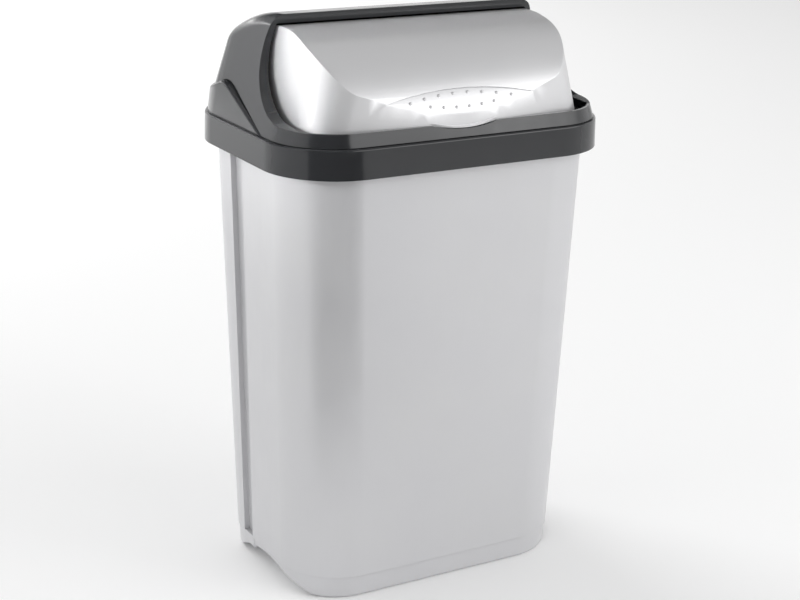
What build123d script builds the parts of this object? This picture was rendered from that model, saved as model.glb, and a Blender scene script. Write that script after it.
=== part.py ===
"""Roll-top bin: tapered tub, lid frame, hood and a roll flap on stub axles.

Millimetres. Z is up, X is the width, the front faces -Y. The origin is the
centre of the underside, on the floor.
"""

import os
from math import asin, atan, cos, degrees, sin

from build123d import *

# Overall size: the lid frame's skirt and the shelf the hood stands on
WIDTH = 340.0
DEPTH = 250.0
SHELF_TOP = 442.5

# Wall thickness and the gap left between seated pieces
WALL = 2.4
REST_GAP = 0.3

# Skirt of the lid frame
SKIRT_R = 68.0
SKIRT_HIGH = 27.3
SKIRT_LEAN = 0.022
SKIRT_ROUND = 2.2
SHELF_T = 2.5
SKIRT_LOW = SHELF_TOP - SKIRT_HIGH

# Tub: how far the wall stands inside the skirt at the skirt's edge and at the step
TUB_R = 61.0
TUB_TOP = (WIDTH / 2 - 11.25, DEPTH / 2 - 11.7)
TUB_STEP = (WIDTH / 2 - 22.75, DEPTH / 2 - 22.95)
STEP_Z = 22.7
BAND_IN = (2.1, 3.4)
BAND_R = 57.5
BAND_LEAN = -0.045
BAND_ROUND = 4.5
FLOOR_LOW = 2.2
FLOOR_T = 2.6
FLOOR_CHAMFER = 3.4
FOOT_RING = 7.0

# Tub rim, hidden under the skirt: a flange with a turned-down lip
RIM_Z = SHELF_TOP - SHELF_T - REST_GAP
RIM_OUT = 6.2
RIM_LIP = 10.0
RIM_T = 2.2

# Groove down each side wall, with its nub at the foot
GROOVE_BACK = 38.5
GROOVE_FRONT_TOP = 13.0
GROOVE_FRONT_LOW = 20.0
GROOVE_DEEP = 5.2
GROOVE_FOOT = STEP_Z + 1.6
NUB_LOW = 12.0
NUB_TOP = STEP_Z + 1.2
NUB_PROUD = 0.9
NUB_THICK = 9.0
NUB_OVER = 2.5
NUB_ROUND = 2.6

# Hand hold under each side wall, an arc in side view
HOLD_Y = -13.0
HOLD_HALF = 70.0
HOLD_HIGH = 18.6
HOLD_DEEP = 26.0
HOLD_OUT = 30.0

# Locating ring of the frame, inside the tub's wall
RING_PLAY = 0.8
RING_T = 2.0
RING_HIGH = 12.0

# Hood: its outline on the shelf and the lean of every side
HOOD_BASE = (WIDTH / 2 - 4.5, DEPTH / 2 - 4.2, 60.0)
LEAN = 0.30
HOOD_T = 2.8

# Axle line, the ears beside the way through the shelf, and the stubs in their bores
AXLE_Y = -16.2
AXLE_Z = SHELF_TOP - 13.0
STUB_R = 5.0
STUB_FIT = 0.06
STUB_PAST = 0.2
STUB_CHAMFER = 0.8
HUB_R = 11.0
WAY_HALF = WIDTH / 2 - 18.7
EAR_IN = WAY_HALF - 1.3
EAR_T = 3.0
EAR_HALF = 15.0
EAR_LOBE_R = 13.5
SIDE_PLAY = 0.8

# Roll flap: roll radius, and its plan at the axle's height
FLAP_HALF = WIDTH / 2 - 24.1
FLAP_FRONT = DEPTH / 2 - 7.6
FLAP_BACK = 60.0
FRONT_DRAFT = 0.10
FRONT_BOW_R = 659.0
ROLL_R = FLAP_FRONT + AXLE_Y + 2.0
ROLL_TOP = AXLE_Z + ROLL_R
TOP_PLAY = 5.2
FLAP_DRAFT = (FLAP_HALF + HOOD_T + TOP_PLAY - HOOD_BASE[0] + LEAN * (ROLL_TOP - SHELF_TOP)) / ROLL_R
FLAP_BASE_Z = AXLE_Z - 30.0
FLAP_CORNER_LOW = 26.0
FLAP_CORNER_HIGH = 56.0
ARM_HALF = 12.0
ARM_BACK = 28.0

# Crown of the hood over the roll
CROWN_TOP = ROLL_TOP + 9.8
CROWN_Y = -8.0
CROWN_R = 160.5
CROWN_Z = CROWN_TOP - CROWN_R
CROWN_ROUND = 16.0
INNER_CHAMFER = 5.6

# Mouth of the hood in side view (y, z): top, bulge, knee, sweep forward, flat lip
LIP_Z = SHELF_TOP + 12.1
FLAP_LOW = LIP_Z - 5.0
MOUTH_TOP = (AXLE_Y + 8.6, CROWN_TOP - 4.5)
MOUTH_BULGE = (AXLE_Y + 13.4, SHELF_TOP + 72.5)
MOUTH_KNEE = (AXLE_Y + 7.0, SHELF_TOP + 48.0)
MOUTH_SWEEP = (AXLE_Y - 9.3, SHELF_TOP + 29.5)
MOUTH_TOE = (AXLE_Y - 43.8, LIP_Z + 1.6)
MOUTH_FLAT = (AXLE_Y - 75.8, LIP_Z)

# Edge returned inward round the mouth, clear of the flap's sides
RETURN_T = 2.2
RETURN_PLAY = 8.0
RETURN_LEAN = 1.5 * FLAP_DRAFT
LIP_DROP = 8.4

# Wing of the frame beside the hood, its upper edge (y, z), and the seam between
WING_T = 2.2
WING_LEAN = 0.12
WING_RISE = 0.395
WING_SHOULDER = (18.0, SHELF_TOP + 23.4)
WING_PEAK = (48.0, SHELF_TOP + 32.7)
WING_REAR = (94.0, SHELF_TOP + 21.5)
WING_ROUND = 3.2
SEAM = 1.1
TONGUE_IN = 2.9
TONGUE_T = 1.8
TONGUE_LAP = 6.0
TONGUE_ROOT = 1.4

# Ribs inside the hood's front, which the shut flap rests on
RIB_X = 70.0
RIB_WIDE = 3.0
RIB_LONG = 8.0

# Grip on the flap: a lens-shaped dish with studs in two curved rows
GRIP_HALF = 77.5
GRIP_LOW_Z = SHELF_TOP + 19.5
GRIP_TIP_Z = SHELF_TOP + 32.5
GRIP_TOP_Z = SHELF_TOP + 41.1
GRIP_DEEP = 1.1
STUD_R = 1.7
STUD_TOP_R = 1.0
STUD_HIGH = 0.7
UPPER_ROW = (8, 52.5, SHELF_TOP + 36.7, 5.2)
LOWER_ROW = (6, 33.0, SHELF_TOP + 25.3, -2.2)

# Pull lip at the flap's lower edge and the dip for it in the hood's front
PULL_HALF = 36.0
PULL_OUT = 3.2
PULL_T = 1.8
PULL_GAP = 0.6
DIP_DEEP = 4.6
DIP_R = (PULL_HALF**2 + DIP_DEEP**2) / (2 * DIP_DEEP)

# Bodies that only cut others run this far past them
PAST = 20.0


def block(low_z, size, high_z, lean=0.0):
    """Upright block of (half x, half y, corner r) whose walls lean in as they rise."""
    hx, hy, r = size
    outline = Plane.XY.offset(low_z) * RectangleRounded(2 * hx, 2 * hy, r)
    return extrude(outline, amount=high_z - low_z, taper=degrees(atan(lean)))


def inset(size, by):
    """A size (half x, half y, corner r) drawn in by a distance."""
    return size[0] - by, size[1] - by, size[2] - by


def front_prism(points, half):
    """Solid with a front-view outline of (x, z) points, from -half to +half in Y."""
    return extrude(Plane.XZ * Polygon(*points, align=None), amount=half, both=True)


def side_prism(curve, half):
    """Solid with a closed side-view outline of (y, z), from -half to +half in X."""
    return extrude(make_face(Plane.YZ * curve), amount=half, both=True)


def both_sides(solid):
    """A solid on one side together with its mirror image across the middle."""
    return solid + mirror(solid, about=Plane.YZ)


def tub_at(z, by=0.0):
    """Tub outline (half x, half y, corner r) at a height, drawn in by a distance."""
    share = (z - STEP_Z) / (SKIRT_LOW - STEP_Z)
    hx, hy = (low + (high - low) * share for low, high in zip(TUB_STEP, TUB_TOP))
    return hx - by, hy - by, TUB_R - by


def tub_block(low_z, high_z, by=0.0):
    """Length of the tub between two heights: four leaning walls, rounded corners."""
    (x0, y0, r), (x1, y1, _) = tub_at(low_z, by), tub_at(high_z, by)
    wide = front_prism([(-x0, low_z), (x0, low_z), (x1, high_z), (-x1, high_z)], DEPTH)
    deep = Polyline((-y0, low_z), (y0, low_z), (y1, high_z), (-y1, high_z), close=True)
    solid = wide & side_prism(deep, WIDTH)
    corners = [e for e in solid.edges() if abs((e @ 0).Z - (e @ 1).Z) > 1]
    return fillet(corners, r)


def wall_groove(grow=0.0):
    """Upright groove in the -X wall, widened by a distance for the wall behind."""
    low = GROOVE_FOOT - grow
    high = RIM_Z + 1
    x_low = -tub_at(low)[0]
    x_high = -tub_at(high)[0]
    deep = GROOVE_DEEP + grow
    floor = [(x_low - 4, low), (x_low + deep, low), (x_high + deep, high), (x_high - 4, high)]
    sides = Polyline(
        (GROOVE_FRONT_LOW - grow, low),
        (GROOVE_BACK + grow, low),
        (GROOVE_BACK + grow, high),
        (GROOVE_FRONT_TOP - grow, high),
        close=True,
    )
    return front_prism(floor, DEPTH) & side_prism(sides, WIDTH)


def hold_arc(grow=0.0):
    """Arc-roofed hollow under the -X wall, grown by a distance for its shell."""
    radius = (HOLD_HALF**2 + HOLD_HIGH**2) / (2 * HOLD_HIGH)
    long = HOLD_DEEP + HOLD_OUT + grow
    arc = Cylinder(radius + grow, long, rotation=(0, 90, 0))
    x_in = -TUB_STEP[0] + HOLD_DEEP + grow
    arc = Pos(x_in - long / 2, HOLD_Y, HOLD_HIGH - radius) * arc
    above = Pos(0, 0, STEP_Z + HOLD_HIGH - PAST / 2) * Box(WIDTH * 2, DEPTH * 2, 2 * (STEP_Z + HOLD_HIGH))
    return arc & above


def make_tub():
    """Open tub with a base band, side grooves, hand holds and a turned rim."""
    band_size = (TUB_STEP[0] - BAND_IN[0], TUB_STEP[1] - BAND_IN[1], BAND_R)
    band = block(0, band_size, STEP_Z, BAND_LEAN)
    band = fillet(band.edges().group_by(Axis.Z)[0], BAND_ROUND)
    outer = tub_block(STEP_Z, RIM_Z) + band

    # Rim
    rim_size = inset(tub_at(RIM_Z), -RIM_OUT)
    rim = block(RIM_Z - RIM_LIP, rim_size, RIM_Z)
    rim -= block(RIM_Z - RIM_LIP - 1, inset(rim_size, RIM_T), RIM_Z - RIM_T)
    outer += rim - block(RIM_Z - RIM_LIP, inset(tub_at(RIM_Z), WALL / 2), RIM_Z + 1)

    # Hollow inside, kept clear of the grooves and the hand holds
    hollow = tub_block(STEP_Z + 1, RIM_Z + 1, WALL)
    low_hollow = block(FLOOR_LOW + FLOOR_T, inset(band_size, WALL), STEP_Z + 1.5, BAND_LEAN)
    hollow += chamfer(low_hollow.edges().group_by(Axis.Z)[0], FLOOR_CHAMFER)
    hollow -= both_sides(wall_groove(WALL))
    hollow -= both_sides(hold_arc(WALL))
    tub = outer - hollow - both_sides(wall_groove())

    # Nub that closes each groove's foot
    nub = Box(NUB_THICK, GROOVE_BACK - GROOVE_FRONT_LOW + 2 * NUB_OVER, NUB_TOP - NUB_LOW)
    nub = fillet(nub.faces().sort_by(Axis.X)[0].edges(), NUB_ROUND)
    nub_x = -band_size[0] + BAND_LEAN * STEP_Z - NUB_PROUD + NUB_THICK / 2
    nub = Pos(nub_x, (GROOVE_FRONT_LOW + GROOVE_BACK) / 2, (NUB_LOW + NUB_TOP) / 2) * nub
    tub -= both_sides(hold_arc())
    tub += both_sides(nub)

    # Underside drawn up inside a foot ring
    recess = block(-1, inset(band_size, FOOT_RING), FLOOR_LOW)
    recess -= both_sides(hold_arc(FOOT_RING))
    return tub - recess


def wing_block(by=0.0, low=SHELF_TOP - 1, high=SHELF_TOP + 45):
    """Steep block of the frame's wings, drawn in by a distance."""
    return block(low, inset(HOOD_BASE, by + WING_LEAN * (low - SHELF_TOP)), high, WING_LEAN)


def lean_block(by=0.0, low=SHELF_TOP, high=CROWN_TOP + 8):
    """Leaning block of the hood, drawn in by a distance."""
    return block(low, inset(HOOD_BASE, by + LEAN * (low - SHELF_TOP)), high, LEAN)


def on_crown(edge, radius):
    """True for an edge that lies on a cylinder about the crown's axis."""
    for share in (0.03, 0.5, 0.97):
        p = edge @ share
        if abs(((p.Y - CROWN_Y) ** 2 + (p.Z - CROWN_Z) ** 2) ** 0.5 - radius) > 0.01:
            return False
    return True


def hood_block(by, low):
    """Leaning block under the crown arc, drawn in by a distance, and its crown edges."""
    crown = Cylinder(CROWN_R - by, WIDTH * 2, rotation=(0, 90, 0))
    solid = lean_block(by, low) & (Pos(0, CROWN_Y, CROWN_Z) * crown)
    high = [e for e in solid.edges() if e.bounding_box().min.Z > SHELF_TOP + 30]
    return solid, [e for e in high if on_crown(e, CROWN_R - by)]


def mouth(shift=0.0):
    """Prism in front of the hood's mouth edge, moved back and down by a distance."""
    s = shift
    part = 0.7 * s
    sky = CROWN_TOP + PAST
    top = (MOUTH_TOP[0] + s, MOUTH_TOP[1])
    knee = (MOUTH_KNEE[0] + s, MOUTH_KNEE[1])
    flat = (MOUTH_FLAT[0], MOUTH_FLAT[1] - s)
    lead = Line((top[0], sky), top)
    upper = ThreePointArc(top, (MOUTH_BULGE[0] + s, MOUTH_BULGE[1]), knee)
    sweep_mid = (MOUTH_SWEEP[0] + part, MOUTH_SWEEP[1] - part)
    sweep = ThreePointArc(knee, sweep_mid, (MOUTH_TOE[0], MOUTH_TOE[1] - s))
    rest = Polyline(sweep @ 1, flat, (-DEPTH, flat[1]), (-DEPTH, sky), (top[0], sky))
    return side_prism(lead + upper + sweep + rest, WIDTH)


def under_wing(lift=0.0):
    """Prism below the wing's upper edge, raised by a distance along the edge."""
    low_z = SHELF_TOP - 4.0
    square = atan(WING_RISE)
    shoulder = (WING_SHOULDER[0] - lift * sin(square), WING_SHOULDER[1] + lift * cos(square))
    toe = (shoulder[0] - (shoulder[1] - low_z) / WING_RISE, low_z)
    rear = (WING_REAR[0], WING_REAR[1] + lift)
    rise = Line(toe, shoulder)
    over = Spline(
        shoulder,
        (WING_PEAK[0], WING_PEAK[1] + lift),
        rear,
        tangents=[(1, WING_RISE), (1, 0)],
    )
    rest = Polyline(rear, (DEPTH, rear[1]), (DEPTH, low_z), toe)
    return side_prism(rise + over + rest, WIDTH)


def is_outer(edge):
    """True for an edge whose middle lies on the wings' outer wall."""
    p = edge @ 0.5
    half_x, half_y, r = inset(HOOD_BASE, WING_LEAN * (p.Z - SHELF_TOP))
    dx = max(abs(p.X) - (half_x - r), 0.0)
    dy = max(abs(p.Y) - (half_y - r), 0.0)
    return abs((dx * dx + dy * dy) ** 0.5 - r) < 0.05


def make_frame():
    """Skirted ring with a shelf, wings, a locating ring and bored ears."""
    low = (WIDTH / 2, DEPTH / 2, SKIRT_R)
    skirt = block(SKIRT_LOW, low, SHELF_TOP, SKIRT_LEAN)
    skirt = fillet(skirt.edges().group_by(Axis.Z)[-1], SKIRT_ROUND)
    frame = skirt - block(SKIRT_LOW, inset(low, WALL), SHELF_TOP - SHELF_T, SKIRT_LEAN)

    # Ring inside the tub's wall, and the way through
    ring_out = tub_at(RIM_Z, WALL + RING_PLAY)
    ring = block(SHELF_TOP - RING_HIGH, ring_out, SHELF_TOP - 1)
    ring -= block(SHELF_TOP - RING_HIGH, inset(ring_out, RING_T), SHELF_TOP - 1)
    frame += ring - both_sides(wall_groove(WALL + RING_PLAY))
    way = (WAY_HALF, ring_out[1] - RING_T, ring_out[2] - RING_T)
    frame -= block(SHELF_TOP - RING_HIGH, way, SHELF_TOP + 1)

    # Wings: an outer wall with a rounded top that returns to the hood's surface
    wings = wing_block() & under_wing()
    tops = [e for e in wings.edges() if (e @ 0.5).Z > SHELF_TOP + 4 and is_outer(e)]
    wings = fillet(tops, WING_ROUND)
    wings -= wing_block(WING_T, SHELF_TOP - 2) & under_wing(-WING_T)
    wings -= lean_block(WING_T - 0.2, SHELF_TOP - 2)
    frame += wings

    # Ears with the bores for the flap's stubs
    ear_x = EAR_IN + EAR_T / 2
    ear = Box(EAR_T, 2 * EAR_HALF, SHELF_TOP - AXLE_Z)
    ear = Pos(ear_x, AXLE_Y, (SHELF_TOP + AXLE_Z) / 2) * ear
    ear += Pos(ear_x, AXLE_Y, AXLE_Z) * Cylinder(EAR_LOBE_R, EAR_T, rotation=(0, 90, 0))
    bore = Pos(ear_x, AXLE_Y, AXLE_Z) * Cylinder(STUB_R + STUB_FIT, PAST, rotation=(0, 90, 0))
    return frame + both_sides(ear) - both_sides(bore)


def make_hood():
    """Hood with a crowned top, a returned mouth edge and a tongue in the wings."""
    base_z = SHELF_TOP + REST_GAP
    outer, outer_rim = hood_block(0.0, SHELF_TOP)
    inner, inner_rim = hood_block(HOOD_T, SHELF_TOP - 1)
    outer = fillet(outer_rim, CROWN_ROUND)
    hood = outer - chamfer(inner_rim, INNER_CHAMFER)

    # Seam over the wing, with the tongue that laps inside it
    lap = under_wing(SEAM + TONGUE_LAP)
    above = under_wing(SEAM)
    within = lean_block(TONGUE_IN + TONGUE_T, SHELF_TOP - 1)
    hood -= above
    hood += (lean_block(TONGUE_IN) - within) & lap
    hood += (lean_block(TONGUE_ROOT) - within) & (lap - above)
    hood -= mouth()

    # Returned edge round the mouth, clear of the flap
    floor_z = SHELF_TOP - 5
    rise = CROWN_TOP - LIP_DROP - floor_z
    x0 = FLAP_HALF + RETURN_PLAY
    x1 = x0 - RETURN_LEAN * rise
    free = front_prism([(-x0, floor_z), (x0, floor_z), (x1, floor_z + rise), (-x1, floor_z + rise)], DEPTH)
    band = (outer & mouth(RETURN_T)) - mouth() - free
    hood += band & Pos(0, 0, LIP_Z + CROWN_TOP / 2) * Box(WIDTH * 2, DEPTH * 2, CROWN_TOP)

    # Dip for the pull lip, and the ribs the shut flap rests on
    dip = Cylinder(DIP_R, PAST, rotation=(90, 0, 0))
    hood -= Pos(0, -HOOD_BASE[1], LIP_Z - DIP_DEEP + DIP_R) * dip
    rib_z = FLAP_LOW - REST_GAP
    rib = Box(RIB_WIDE, RIB_LONG, rib_z - base_z)
    rib_y = -HOOD_BASE[1] + HOOD_T + RIB_LONG / 2 + 0.6
    hood += both_sides(Pos(RIB_X, rib_y, (rib_z + base_z) / 2) * rib)
    return hood & Pos(0, 0, base_z + CROWN_TOP / 2) * Box(WIDTH * 2, DEPTH * 2, CROWN_TOP)


def flap_plan(z, by):
    """Plan of the flap at a height: straight sides and back, a bowed front."""
    hx = FLAP_HALF - FLAP_DRAFT * (z - AXLE_Z) - by
    front = -(FLAP_FRONT - FRONT_DRAFT * (z - AXLE_Z) - by)
    edge = front + hx**2 / (2 * FRONT_BOW_R)
    bow = ThreePointArc((-hx, edge), (0, front), (hx, edge))
    sides = Polyline((hx, edge), (hx, FLAP_BACK), (-hx, FLAP_BACK), (-hx, edge))
    face = make_face(bow + sides)
    corners = [v for v in face.vertices() if v.Y < 0]
    share = (z - FLAP_BASE_Z) / (CROWN_TOP - FLAP_BASE_Z)
    r = FLAP_CORNER_LOW + (FLAP_CORNER_HIGH - FLAP_CORNER_LOW) * share
    return Plane.XY.offset(z) * fillet(corners, r - by)


def flap_block(by=0.0):
    """Bowed block rounded over by the roll cylinder, drawn in by a distance."""
    solid = loft([flap_plan(FLAP_BASE_Z, by), flap_plan(CROWN_TOP, by)], ruled=True)
    roll = Cylinder(ROLL_R - by, WIDTH * 2, rotation=(0, 90, 0))
    return solid & (Pos(0, AXLE_Y, AXLE_Z) * roll)


def lens(half, low, tip, high):
    """Front-view lens between two arcs that share their tips."""
    under = ThreePointArc((-half, tip), (0, low), (half, tip))
    over = ThreePointArc((half, tip), (0, high), (-half, tip))
    return make_face(Plane.XZ * (under + over))


def make_flap():
    """Roll flap: skin, side arms with stubs, dished grip with studs, pull lip."""
    hub_z = AXLE_Z - HUB_R
    arm_z = AXLE_Z - HUB_R + 2
    outline = Polyline(
        (-DEPTH, FLAP_LOW),
        (-100, FLAP_LOW),
        (AXLE_Y - ARM_HALF, arm_z),
        (AXLE_Y, hub_z),
        (AXLE_Y + ARM_HALF, arm_z),
        (AXLE_Y + ARM_BACK, CROWN_TOP),
        (-DEPTH, CROWN_TOP),
        close=True,
    )
    flap = (flap_block() - flap_block(WALL)) & side_prism(outline, WIDTH)

    # Hubs and stubs
    hub_x = EAR_IN - SIDE_PLAY
    hub_in = FLAP_HALF - 2 * WALL
    hub = Cylinder(HUB_R, hub_x - hub_in, rotation=(0, 90, 0))
    hub = Pos((hub_x + hub_in) / 2, AXLE_Y, AXLE_Z) * hub
    stub_end = EAR_IN + EAR_T + STUB_PAST
    stub = Cylinder(STUB_R, stub_end - hub_in, rotation=(0, 90, 0))
    stub = chamfer(stub.edges().group_by(Axis.X)[-1], STUB_CHAMFER)
    stub = Pos((stub_end + hub_in) / 2, AXLE_Y, AXLE_Z) * stub
    flap += both_sides(hub + stub)

    # Dish of the grip: level with the crease, deepest at the upper edge
    at_low = asin((GRIP_LOW_Z - AXLE_Z) / ROLL_R)
    at_high = asin((GRIP_TOP_Z - AXLE_Z) / ROLL_R)
    sink = GRIP_DEEP / sin(at_high - at_low)
    shift_y = -sink * sin(at_low)
    shift_z = -sink * cos(at_low)
    kept = Cylinder(ROLL_R, WIDTH * 2, rotation=(0, 90, 0))
    kept = Pos(0, AXLE_Y + shift_y, AXLE_Z + shift_z) * kept
    shape = extrude(lens(GRIP_HALF, GRIP_LOW_Z - 1.2, GRIP_TIP_Z, GRIP_TOP_Z), amount=DEPTH)
    flap -= shape - kept

    # Studs on the dish's floor, low cones with flat tops
    stud = Cone(STUD_R, STUD_TOP_R, STUD_HIGH + 0.5, rotation=(90, 0, 0))
    for count, half, z_mid, fall in (UPPER_ROW, LOWER_ROW):
        for i in range(count):
            u = -1 + 2 * i / (count - 1)
            z = z_mid - fall * u * u
            y = AXLE_Y + shift_y - (ROLL_R**2 - (z - AXLE_Z - shift_z) ** 2) ** 0.5
            flap += Pos(half * u, y + 0.25 - STUD_HIGH / 2, z) * stud

    # Pull lip, a crescent that follows the dip in the hood's front
    y_wall = -(FLAP_FRONT - FRONT_DRAFT * (LIP_Z - AXLE_Z))
    ends = y_wall + WALL / 2
    out = ThreePointArc((-PULL_HALF, ends), (0, y_wall - PULL_OUT), (PULL_HALF, ends))
    crescent = make_face(Plane.XY.offset(FLAP_LOW) * (out + Line(out @ 1, out @ 0)))
    pull = extrude(crescent, amount=LIP_Z + 1.5 - FLAP_LOW)
    centre = Pos(0, -DEPTH / 2, LIP_Z - DIP_DEEP + DIP_R)
    pull &= centre * Cylinder(DIP_R - PULL_GAP, DEPTH, rotation=(90, 0, 0))
    pull -= centre * Cylinder(DIP_R - PULL_GAP - PULL_T, DEPTH, rotation=(90, 0, 0))
    return flap + pull


def main():
    """Write each piece to its own file."""
    os.makedirs("parts", exist_ok=True)
    pieces = {
        "tub": make_tub(),
        "lid_frame": make_frame(),
        "hood": make_hood(),
        "roll_flap": make_flap(),
    }
    for name, piece in pieces.items():
        solids = piece.solids()
        print(name, len(solids), round(sum(s.volume for s in solids)))
        shape = solids[0] if len(solids) == 1 else piece
        shape.label = name
        export_step(shape, f"parts/{name}.step")


if __name__ == "__main__":
    main()
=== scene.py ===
"""Studio scene of a roll-top bin: silver tub, dark lid frame and hood, silver roll flap.

Metres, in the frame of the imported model: Z is up, X is the width and the front
faces -Y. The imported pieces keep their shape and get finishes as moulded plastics.
"""

import logging
from dataclasses import dataclass, field
from enum import Enum
from math import cos, radians, sin
from typing import Any

import bmesh
import bpy
from mathutils import Matrix, Vector


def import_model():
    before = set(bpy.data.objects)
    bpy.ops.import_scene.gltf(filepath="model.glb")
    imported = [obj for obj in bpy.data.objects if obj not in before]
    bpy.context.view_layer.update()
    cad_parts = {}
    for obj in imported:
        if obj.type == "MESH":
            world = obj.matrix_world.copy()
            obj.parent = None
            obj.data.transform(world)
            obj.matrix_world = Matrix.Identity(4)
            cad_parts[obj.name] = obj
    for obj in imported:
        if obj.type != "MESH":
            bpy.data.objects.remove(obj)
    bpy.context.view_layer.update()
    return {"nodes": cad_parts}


LOG = logging.getLogger("bin")
MM = 0.001

# Noise mostly keeps to this middle band, which is stretched to a finish's whole range
NOISE_LOW = 0.3
NOISE_HIGH = 0.7

# How many finer layers a noise adds to its largest shapes
CLOUD_DETAIL = 3.0
WEAR_DETAIL = 5.0
FINE_DETAIL = 2.0

# Rays that feel for an edge round each point
EDGE_SAMPLES = 6


class Gloss(Enum):
    """How the mould's wall was finished, as the roughness it leaves on the plastic.

    With its wear and flow added, each finish keeps to one side of about 0.27:
    a range that crosses it renders with dark specks.
    """

    POLISHED = 0.17
    SATIN = 0.33
    ETCHED = 0.38


def linear(hex_code: str) -> tuple[float, float, float, float]:
    """Turn an sRGB hex colour to linear light.

    Args:
        hex_code: Six hex digits, such as "c0c1c3".

    Returns:
        Linear red, green, blue and an alpha of one.
    """
    parts = []
    for start in (0, 2, 4):
        value = int(hex_code[start : start + 2], 16) / 255
        parts.append(value / 12.92 if value <= 0.04045 else ((value + 0.055) / 1.055) ** 2.4)
    return parts[0], parts[1], parts[2], 1.0


def add_node(
    tree: bpy.types.NodeTree,
    kind: str,
    settings: dict[str, Any] | None = None,
    inputs: dict[str | int, Any] | None = None,
) -> bpy.types.Node:
    """Add a shader node with its settings, values and links.

    Args:
        tree: The node tree that the node goes into.
        kind: The node's type name.
        settings: Properties of the node itself.
        inputs: Values for its sockets; an output socket as a value makes a link.

    Returns:
        The new node.
    """
    node = tree.nodes.new(kind)
    for name, value in (settings or {}).items():
        setattr(node, name, value)
    for name, value in (inputs or {}).items():
        if isinstance(value, bpy.types.NodeSocket):
            tree.links.new(value, node.inputs[name])
        else:
            node.inputs[name].default_value = value
    return node


@dataclass(frozen=True)
class MouldedPlastic:
    """Injection-moulded polypropylene, coloured through, with the mould's own surface.

    The pigment clouds slightly as it flows, the mould's fine grain breaks up
    the highlight, and handling leaves a few duller patches. Sizes in
    millimetres are those of each pattern's largest shapes.
    """

    name: str
    colour: str
    cloud_colour: str
    gloss: Gloss
    metallic: float
    ior: float = 1.49
    grain_mm: float = 1.2
    grain_depth_mm: float = 0.010
    cloud_mm: float = 90.0
    wear_mm: float = 35.0
    wear: float = 0.05
    flow: float = 0.0
    flow_mm: float = 1.6
    flow_stretch: float = 60.0
    edge_mm: float = 0.5

    def material(self) -> bpy.types.Material:
        """Build the finish as a node material.

        Returns:
            The material, with colour, roughness and bump from nodes.
        """
        made = bpy.data.materials.new(self.name)
        made.use_nodes = True
        tree = made.node_tree
        tree.nodes.clear()
        place = add_node(tree, "ShaderNodeTexCoord").outputs["Object"]

        # Pigment flow: broad pale clouds, barely there
        cloud = add_node(
            tree,
            "ShaderNodeTexNoise",
            inputs={"Vector": place, "Scale": 1 / (self.cloud_mm * MM), "Detail": CLOUD_DETAIL},
        )
        tint = add_node(
            tree,
            "ShaderNodeMix",
            {"data_type": "RGBA"},
            {
                "Factor": cloud.outputs["Fac"],
                "A": linear(self.colour),
                "B": linear(self.cloud_colour),
            },
        )

        # Handling: patches a little duller or shinier than the mould left them
        wear = add_node(
            tree,
            "ShaderNodeTexNoise",
            inputs={"Vector": place, "Scale": 1 / (self.wear_mm * MM), "Detail": WEAR_DETAIL},
        )
        rough = add_node(
            tree,
            "ShaderNodeMapRange",
            inputs={
                "Value": wear.outputs["Fac"],
                "From Min": NOISE_LOW,
                "From Max": NOISE_HIGH,
                "To Min": self.gloss.value - self.wear,
                "To Max": self.gloss.value + self.wear,
            },
        )

        # Flake drawn out along the flow: upright streaks, duller and brighter, drawn
        # coarser than the real ones, which are too fine to show
        drawn = add_node(
            tree,
            "ShaderNodeMapping",
            inputs={"Vector": place, "Scale": (1.0, 1.0, 1 / self.flow_stretch)},
        )
        streak = add_node(
            tree,
            "ShaderNodeTexNoise",
            inputs={
                "Vector": drawn.outputs["Vector"],
                "Scale": 1 / (self.flow_mm * MM),
                "Detail": FINE_DETAIL,
            },
        )
        drift = add_node(
            tree,
            "ShaderNodeMapRange",
            inputs={
                "Value": streak.outputs["Fac"],
                "From Min": NOISE_LOW,
                "From Max": NOISE_HIGH,
                "To Min": -self.flow,
                "To Max": self.flow,
            },
        )
        uneven = add_node(
            tree,
            "ShaderNodeMath",
            {"operation": "ADD"},
            {0: rough.outputs["Result"], 1: drift.outputs["Result"]},
        )

        # Mould grain, about 0.2 mm on the real part, drawn coarser so that it shows,
        # on edges whose shading is rounded as a mould leaves them
        grain = add_node(
            tree,
            "ShaderNodeTexNoise",
            inputs={
                "Vector": place,
                "Scale": 1 / (self.grain_mm * MM),
                "Detail": FINE_DETAIL,
            },
        )
        edge = add_node(
            tree,
            "ShaderNodeBevel",
            {"samples": EDGE_SAMPLES},
            {"Radius": self.edge_mm * MM},
        )
        bump = add_node(
            tree,
            "ShaderNodeBump",
            inputs={
                "Strength": 1.0,
                "Distance": self.grain_depth_mm * MM,
                "Height": grain.outputs["Fac"],
                "Normal": edge.outputs["Normal"],
            },
        )
        shader = add_node(
            tree,
            "ShaderNodeBsdfPrincipled",
            inputs={
                "Base Color": tint.outputs["Result"],
                "Metallic": self.metallic,
                "Roughness": uneven.outputs["Value"],
                "IOR": self.ior,
                "Normal": bump.outputs["Normal"],
            },
        )
        add_node(tree, "ShaderNodeOutputMaterial", inputs={"Surface": shader.outputs["BSDF"]})
        return made


# Polypropylene with fine aluminium flake, from an etched mould: the flake lifts the
# highlight and keeps the colour a cool pale grey, and the etching spreads it wide
TUB_SILVER = MouldedPlastic(
    name="flake_polypropylene_tub",
    colour="c8c8cb",
    cloud_colour="cccccd",
    gloss=Gloss.ETCHED,
    metallic=0.35,
    flow=0.04,
)
# The same plastic with more flake, from a smoother mould: paler, with a tighter highlight
FLAP_SILVER = MouldedPlastic(
    name="flake_polypropylene_flap",
    colour="d6d6d8",
    cloud_colour="d9d9da",
    gloss=Gloss.SATIN,
    metallic=0.5,
    wear=0.015,
    flow=0.02,
)
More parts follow.
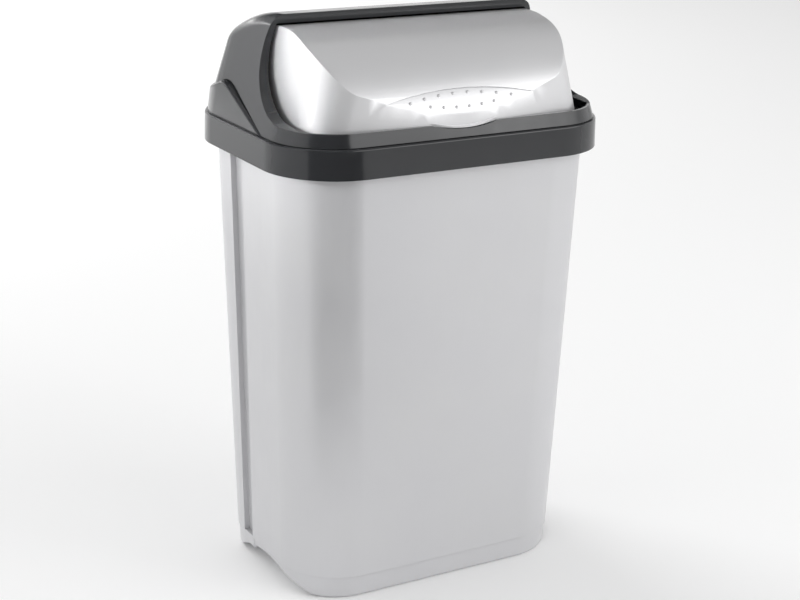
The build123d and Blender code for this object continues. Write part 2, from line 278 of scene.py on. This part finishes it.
# Carbon-black polypropylene from a lightly polished mould: deep, with clear soft highlights
LID_DARK = MouldedPlastic(
    name="carbon_black_polypropylene",
    colour="28292b",
    cloud_colour="2c2d2f",
    gloss=Gloss.POLISHED,
    metallic=0.0,
    grain_depth_mm=0.006,
)


@dataclass
class SubAssembly:
    """Mouldings that move as one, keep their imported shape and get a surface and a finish."""

    nodes: tuple[str, ...]
    finish: MouldedPlastic
    weld_mm: float = 0.002
    crisp_deg: float = 24.0
    large_face_weight: int = 100

    def build(self, packed: dict[str, bpy.types.Object]) -> list[bpy.types.Object]:
        """Join each moulding's patches and round its shading, with crisp edges kept.

        Args:
            packed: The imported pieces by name.

        Returns:
            The sub-assembly's own pieces.
        """
        pieces = [packed[node] for node in self.nodes]
        for piece in pieces:
            faces = piece.data.polygons
            faces.foreach_set("use_smooth", [True] * len(faces))
            weld = piece.modifiers.new("join_patches", "WELD")
            weld.merge_threshold = self.weld_mm * MM
            split = piece.modifiers.new("crisp_edges", "EDGE_SPLIT")
            split.split_angle = radians(self.crisp_deg)
            split.use_edge_sharp = False
            even = piece.modifiers.new("even_shading", "WEIGHTED_NORMAL")
            even.weight = self.large_face_weight
            even.keep_sharp = True
        return pieces

    def dress(self, pieces: list[bpy.types.Object]) -> None:
        """Give each moulding the finish.

        Args:
            pieces: The sub-assembly's own pieces.
        """
        for piece in pieces:
            piece.data.materials.clear()
            piece.data.materials.append(self.finish.material())


@dataclass
class Tub(SubAssembly):
    """Tapered tub that stands on the floor and holds the waste."""

    nodes: tuple[str, ...] = ("tub",)
    finish: MouldedPlastic = TUB_SILVER


@dataclass
class Lid(SubAssembly):
    """Lid frame on the tub's rim and the hood snapped into it, lifted off as one."""

    nodes: tuple[str, ...] = ("lid_frame", "hood")
    finish: MouldedPlastic = LID_DARK


@dataclass
class RollFlap(SubAssembly):
    """Flap in the hood's mouth, which turns back under the hood."""

    nodes: tuple[str, ...] = ("roll_flap",)
    finish: MouldedPlastic = FLAP_SILVER


@dataclass
class Floor:
    """Seamless pale floor under and round the bin."""

    half: float = 30.0
    segments: int = 8
    colour: str = "fcfcfc"
    roughness: float = 0.9

    def build(self) -> bpy.types.Object:
        """Build the floor as one flat mesh.

        Returns:
            The floor's object, outside the part.
        """
        mesh = bmesh.new()
        bmesh.ops.create_grid(
            mesh, x_segments=self.segments, y_segments=self.segments, size=self.half
        )
        data = bpy.data.meshes.new("floor")
        mesh.to_mesh(data)
        mesh.free()
        floor = bpy.data.objects.new("floor", data)
        bpy.context.scene.collection.objects.link(floor)
        return floor

    def dress(self, floor: bpy.types.Object) -> None:
        """Give the floor a matt pale paint.

        Args:
            floor: The floor's object.
        """
        paint = bpy.data.materials.new("matt_white_sweep")
        paint.use_nodes = True
        shader = paint.node_tree.nodes["Principled BSDF"]
        shader.inputs["Base Color"].default_value = linear(self.colour)
        shader.inputs["Roughness"].default_value = self.roughness
        shader.inputs["Specular IOR Level"].default_value = 0.0
        floor.data.materials.append(paint)


@dataclass
class Softbox:
    """Soft light with a rectangular front, which hangs round the bin and faces its aim.

    Angles are in degrees, the azimuth from -Y, the front, towards -X. One that
    isn't mirrored gives light but no reflection.
    """

    name: str
    azimuth: float
    elevation: float
    distance: float
    wide: float
    high: float
    power: float
    aim: tuple[float, float, float] = (0.0, 0.0, 0.3)
    spread: float = 180.0
    mirrored: bool = True

    def build(self) -> bpy.types.Object:
        """Hang the light.

        Returns:
            The light's object.
        """
        lamp = bpy.data.lights.new(self.name, "AREA")
        lamp.shape = "RECTANGLE"
        lamp.size = self.wide
        lamp.size_y = self.high
        lamp.energy = self.power
        lamp.spread = radians(self.spread)
        light = bpy.data.objects.new(self.name, lamp)
        turn, rise = radians(self.azimuth), radians(self.elevation)
        aim = Vector(self.aim)
        out = Vector((-sin(turn) * cos(rise), -cos(turn) * cos(rise), sin(rise)))
        light.location = aim + out * self.distance
        light.rotation_euler = out.to_track_quat("Z", "Y").to_euler()
        light.visible_camera = False
        light.visible_glossy = self.mirrored
        bpy.context.scene.collection.objects.link(light)
        return light


@dataclass
class BlackCard:
    """Black card round a sector of the studio, which only the glossy plastics mirror.

    Its near and far arcs each have a radius and a height. It lies flat where the
    heights are the same, stands upright where the radii are, and its first and
    last azimuths are measured as a softbox's is.
    """

    name: str
    first: float
    last: float
    near: tuple[float, float]
    far: tuple[float, float]
    steps: int = 16
    colour: str = "101010"
    roughness: float = 1.0

    def build(self) -> bpy.types.Object:
        """Cut the card as a strip between its two arcs.

        Returns:
            The card's object, outside the part.
        """
        mesh = bmesh.new()
        arcs = []
        for radius, high in (self.near, self.far):
            arc = []
            for i in range(self.steps + 1):
                turn = radians(self.first + (self.last - self.first) * i / self.steps)
                arc.append(mesh.verts.new((-sin(turn) * radius, -cos(turn) * radius, high)))
            arcs.append(arc)
        for i in range(self.steps):
            mesh.faces.new((arcs[0][i], arcs[0][i + 1], arcs[1][i + 1], arcs[1][i]))
        data = bpy.data.meshes.new(self.name)
        mesh.to_mesh(data)
        mesh.free()
        card = bpy.data.objects.new(self.name, data)
        bpy.context.scene.collection.objects.link(card)
        card.visible_camera = False
        card.visible_diffuse = False
        card.visible_shadow = False
        return card

    def dress(self, card: bpy.types.Object) -> None:
        """Give the card a black flock.

        Args:
            card: The card's object.
        """
        flock = bpy.data.materials.new("black_flock_card")
        flock.use_nodes = True
        shader = flock.node_tree.nodes["Principled BSDF"]
        shader.inputs["Base Color"].default_value = linear(self.colour)
        shader.inputs["Roughness"].default_value = self.roughness
        shader.inputs["Specular IOR Level"].default_value = 0.0
        card.data.materials.append(flock)


@dataclass
class Room:
    """Walls and ceiling of the studio: bright walls, and dimmer overhead."""

    colour: str = "ffffff"
    walls: float = 1.16
    top_share: float = 0.34
    top_from: float = 0.15
    top_to: float = 0.9

    def build(self) -> None:
        """Light the scene from every direction by the room's own brightness."""
        world = bpy.data.worlds.new("room")
        world.use_nodes = True
        tree = world.node_tree
        tree.nodes.clear()
        look = add_node(tree, "ShaderNodeTexCoord").outputs["Generated"]
        height = add_node(tree, "ShaderNodeSeparateXYZ", inputs={"Vector": look})
        level = add_node(
            tree,
            "ShaderNodeMapRange",
            {"interpolation_type": "SMOOTHSTEP"},
            {
                "Value": height.outputs["Z"],
                "From Min": self.top_from,
                "From Max": self.top_to,
                "To Min": self.walls,
                "To Max": self.walls * self.top_share,
            },
        )
        light = add_node(
            tree,
            "ShaderNodeBackground",
            inputs={"Color": linear(self.colour), "Strength": level.outputs["Result"]},
        )
        add_node(tree, "ShaderNodeOutputWorld", inputs={"Surface": light.outputs["Background"]})
        bpy.context.scene.world = world


@dataclass
class Studio:
    """Room light, softboxes, floor and cards round the bin."""

    room: Room = field(default_factory=Room)
    floor: Floor = field(default_factory=Floor)
    # The floor and front cards draw the dark stripe down the tub's front-left corner,
    # and the back card keeps the hood's crown dark
    cards: tuple[BlackCard, ...] = (
        BlackCard("floor_card", first=-16.0, last=63.0, near=(0.5, 0.004), far=(6.0, 0.004)),
        BlackCard("front_card", first=-4.0, last=66.0, near=(3.0, 0.5), far=(3.0, 3.2)),
        BlackCard("back_card", first=105.0, last=250.0, near=(4.0, 1.5), far=(4.0, 5.2)),
    )
    softboxes: tuple[Softbox, ...] = (
        # Wide light on the left side, which the plastics don't mirror
        Softbox(
            "left_softbox",
            azimuth=92.0,
            elevation=38.0,
            distance=2.4,
            wide=1.9,
            high=1.6,
            power=4.0,
            mirrored=False,
        ),
        # Narrow beam that lifts the hood's left side out of the dark
        Softbox(
            "lid_fill",
            azimuth=104.0,
            elevation=14.0,
            distance=1.6,
            wide=0.3,
            high=0.3,
            power=0.42,
            aim=(-0.14, -0.05, 0.58),
            spread=12.0,
            mirrored=False,
        ),
        Softbox(
            "right_softbox",
            azimuth=-48.0,
            elevation=28.0,
            distance=2.4,
            wide=1.4,
            high=1.2,
            power=11.0,
        ),
        Softbox(
            "front_softbox",
            azimuth=-20.0,
            elevation=26.0,
            distance=2.8,
            wide=1.6,
            high=0.9,
            power=8.0,
        ),
        # Light on the floor behind, so that it goes pale to the edge of the picture
        Softbox(
            "sweep_light",
            azimuth=165.0,
            elevation=42.0,
            distance=3.4,
            wide=3.0,
            high=1.6,
            power=120.0,
            aim=(-0.6, 2.0, 0.0),
        ),
    )

    def build(self) -> None:
        """Light the room, lay the floor and stand the cards."""
        self.room.build()
        self.floor.dress(self.floor.build())
        for card in self.cards:
            card.dress(card.build())
        for softbox in self.softboxes:
            softbox.build()


@dataclass
class Camera:
    """Camera of the photograph: turn, tilt, roll and distance about an aim point.

    Angles are in degrees, lengths in metres, and lens and sensor in millimetres.
    """

    azimuth: float = 30.12
    pitch: float = 18.17
    roll: float = 1.21
    distance: float = 1.6977
    aim_high: float = 0.25519
    aim_right: float = 0.00633
    lens: float = 78.1
    sensor: float = 36.0
    shift: tuple[float, float] = (-0.004, -0.0008)

    def build(self) -> bpy.types.Object:
        """Set up the camera and make it the scene's own.

        Returns:
            The camera's object.
        """
        turn, tilt, roll = radians(self.azimuth), radians(self.pitch), radians(self.roll)
        ahead = Vector((sin(turn) * cos(tilt), cos(turn) * cos(tilt), -sin(tilt)))
        right = Vector((cos(turn), -sin(turn), 0.0))
        up = right.cross(ahead)
        aim = Vector((0.0, 0.0, self.aim_high)) + right * self.aim_right
        data = bpy.data.cameras.new("camera")
        data.lens = self.lens
        data.sensor_width = self.sensor
        data.shift_x, data.shift_y = self.shift
        camera = bpy.data.objects.new("camera", data)
        axis_x = cos(roll) * right + sin(roll) * up
        axis_y = -sin(roll) * right + cos(roll) * up
        turned = Matrix((axis_x, axis_y, -ahead)).transposed().to_4x4()
        camera.matrix_world = Matrix.Translation(aim - ahead * self.distance) @ turned
        bpy.context.scene.collection.objects.link(camera)
        bpy.context.scene.camera = camera
        return camera


def main() -> None:
    """Dress each sub-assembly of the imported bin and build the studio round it."""
    logging.basicConfig(level=logging.INFO, format="%(name)s: %(message)s")
    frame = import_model()
    bpy.context.scene.view_settings.view_transform = "Standard"
    for assembly in (Tub(), Lid(), RollFlap()):
        pieces = assembly.build(frame["nodes"])
        assembly.dress(pieces)
        for piece in pieces:
            count = len(piece.data.polygons)
            LOG.info("%s: %d faces, %s", piece.name, count, assembly.finish.name)
    Studio().build()
    Camera().build()


if __name__ == "__main__":
    main()
